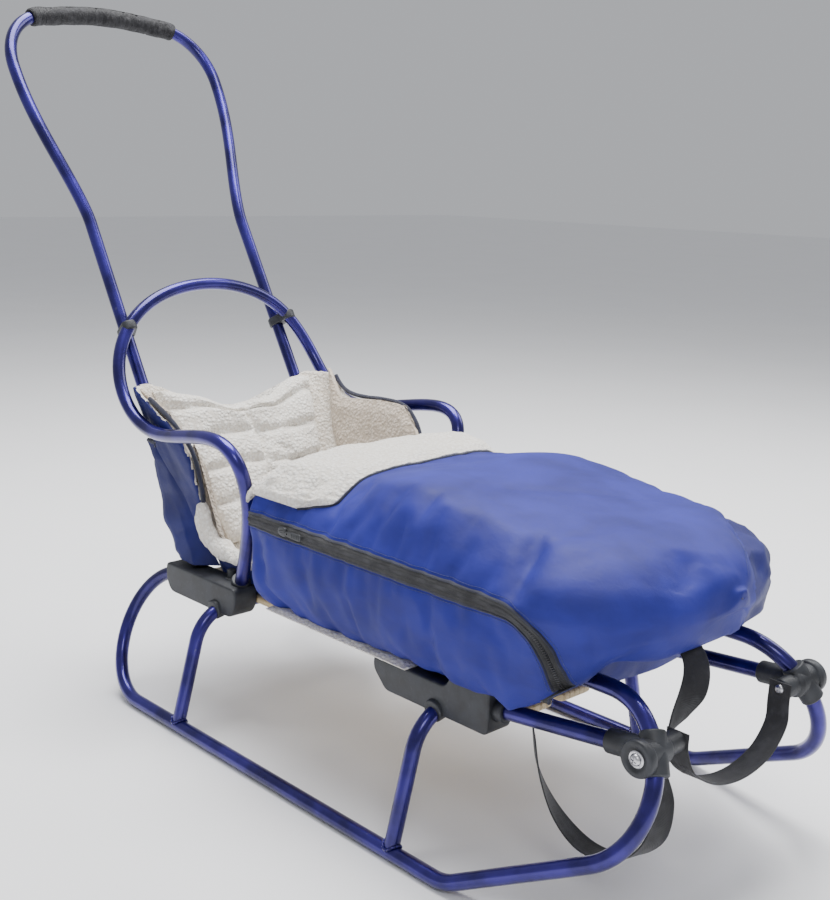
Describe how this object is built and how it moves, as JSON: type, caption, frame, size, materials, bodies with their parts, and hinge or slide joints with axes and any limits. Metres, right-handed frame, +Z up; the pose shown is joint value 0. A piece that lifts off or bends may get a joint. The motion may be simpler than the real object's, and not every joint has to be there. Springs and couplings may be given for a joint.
{
  "type": "sled stroller",
  "caption": "Push sled for a child: steel-tube runners, slatted seat, hoop backrest with armrests, lift-out push handle and a fleece-lined footmuff that unzips.",
  "frame": {"origin": "on the ground, in the middle of the length and width that the sled takes up, its straps left out", "axes": "+Z up, the front of the sled faces -Y, the push handle leans back towards +Y, and the zip is on the -X side"},
  "size_m": [0.435, 1.1947, 0.9184],
  "materials": {
    "navy_tube": "metallic lacquer",
    "black_plastic": "satin",
    "black_foam": "foam",
    "blue_nylon": "soft sheen",
    "cream_fleece": "fleece",
    "pale_wood": "varnished",
    "bright_steel": "zinc plated",
    "zip_black": "woven",
    "webbing": "woven"
  },
  "bodies": {
    "frame": {"runner_left": "navy_tube", "runner_right": "navy_tube", "rear_bow": "navy_tube", "mid_bow": "navy_tube", "seat_rail_left": "navy_tube", "seat_rail_right": "navy_tube", "backrest_hoop": "navy_tube", "handle_guide_left": "black_plastic", "handle_guide_right": "black_plastic", "rear_connector_left": "black_plastic", "rear_connector_right": "black_plastic", "mid_connector_left": "black_plastic", "mid_connector_right": "black_plastic", "front_clamp_left": "black_plastic", "front_clamp_right": "black_plastic", "front_screw_left": "bright_steel", "front_screw_right": "bright_steel", "connector_screw_rear_left": "bright_steel", "connector_screw_rear_right": "bright_steel", "connector_screw_mid_left": "bright_steel", "connector_screw_mid_right": "bright_steel", "slat_1": "pale_wood", "slat_2": "pale_wood", "slat_3": "pale_wood", "slat_4": "pale_wood", "slat_screw_1_rear": "bright_steel", "slat_screw_1_mid": "bright_steel", "slat_screw_2_rear": "bright_steel", "slat_screw_2_mid": "bright_steel", "slat_screw_3_rear": "bright_steel", "slat_screw_3_mid": "bright_steel", "slat_screw_4_rear": "bright_steel", "slat_screw_4_mid": "bright_steel", "footmuff_seat_shell": "blue_nylon", "handle_pocket": "blue_nylon", "footmuff_tub": "blue_nylon", "seat_cushion": "cream_fleece", "back_cushion": "cream_fleece", "leg_mat": "cream_fleece", "zip_tape_lower": "zip_black", "pull_strap": "webbing", "tether_strap": "webbing"},
    "handle": {"push_handle": "navy_tube", "handle_spigot_left": "black_plastic", "handle_spigot_right": "black_plastic", "handle_grip": "black_foam"},
    "cover": {"footmuff_cover": "blue_nylon", "fleece_cuff": "cream_fleece", "zip_tape_upper": "zip_black"},
    "slider": {"zip_slider": "zip_black"},
    "pull": {"zip_pull": "zip_black"}
  },
  "joints": [
    {"name": "push_handle_slide", "type": "slide", "parent": "frame", "child": "handle", "axis": [0, 0.5193, 0.8546], "range_m": [0, 0.12]},
    {"name": "footmuff_cover_hinge", "type": "hinge", "parent": "frame", "child": "cover", "pos_m": [0.181, -0.30085, 0.295], "axis": [0, 1, 0], "range_deg": [0, 110]},
    {"name": "zip_slider_slide", "type": "slide", "parent": "frame", "child": "slider", "axis": [0, -1, 0], "range_m": [0, 0.32]},
    {"name": "zip_pull_swing", "type": "hinge", "parent": "slider", "child": "pull", "pos_m": [-0.18245, -0.1082, 0.295], "axis": [0, 0, -1], "range_deg": [0, 90]}
  ]
}
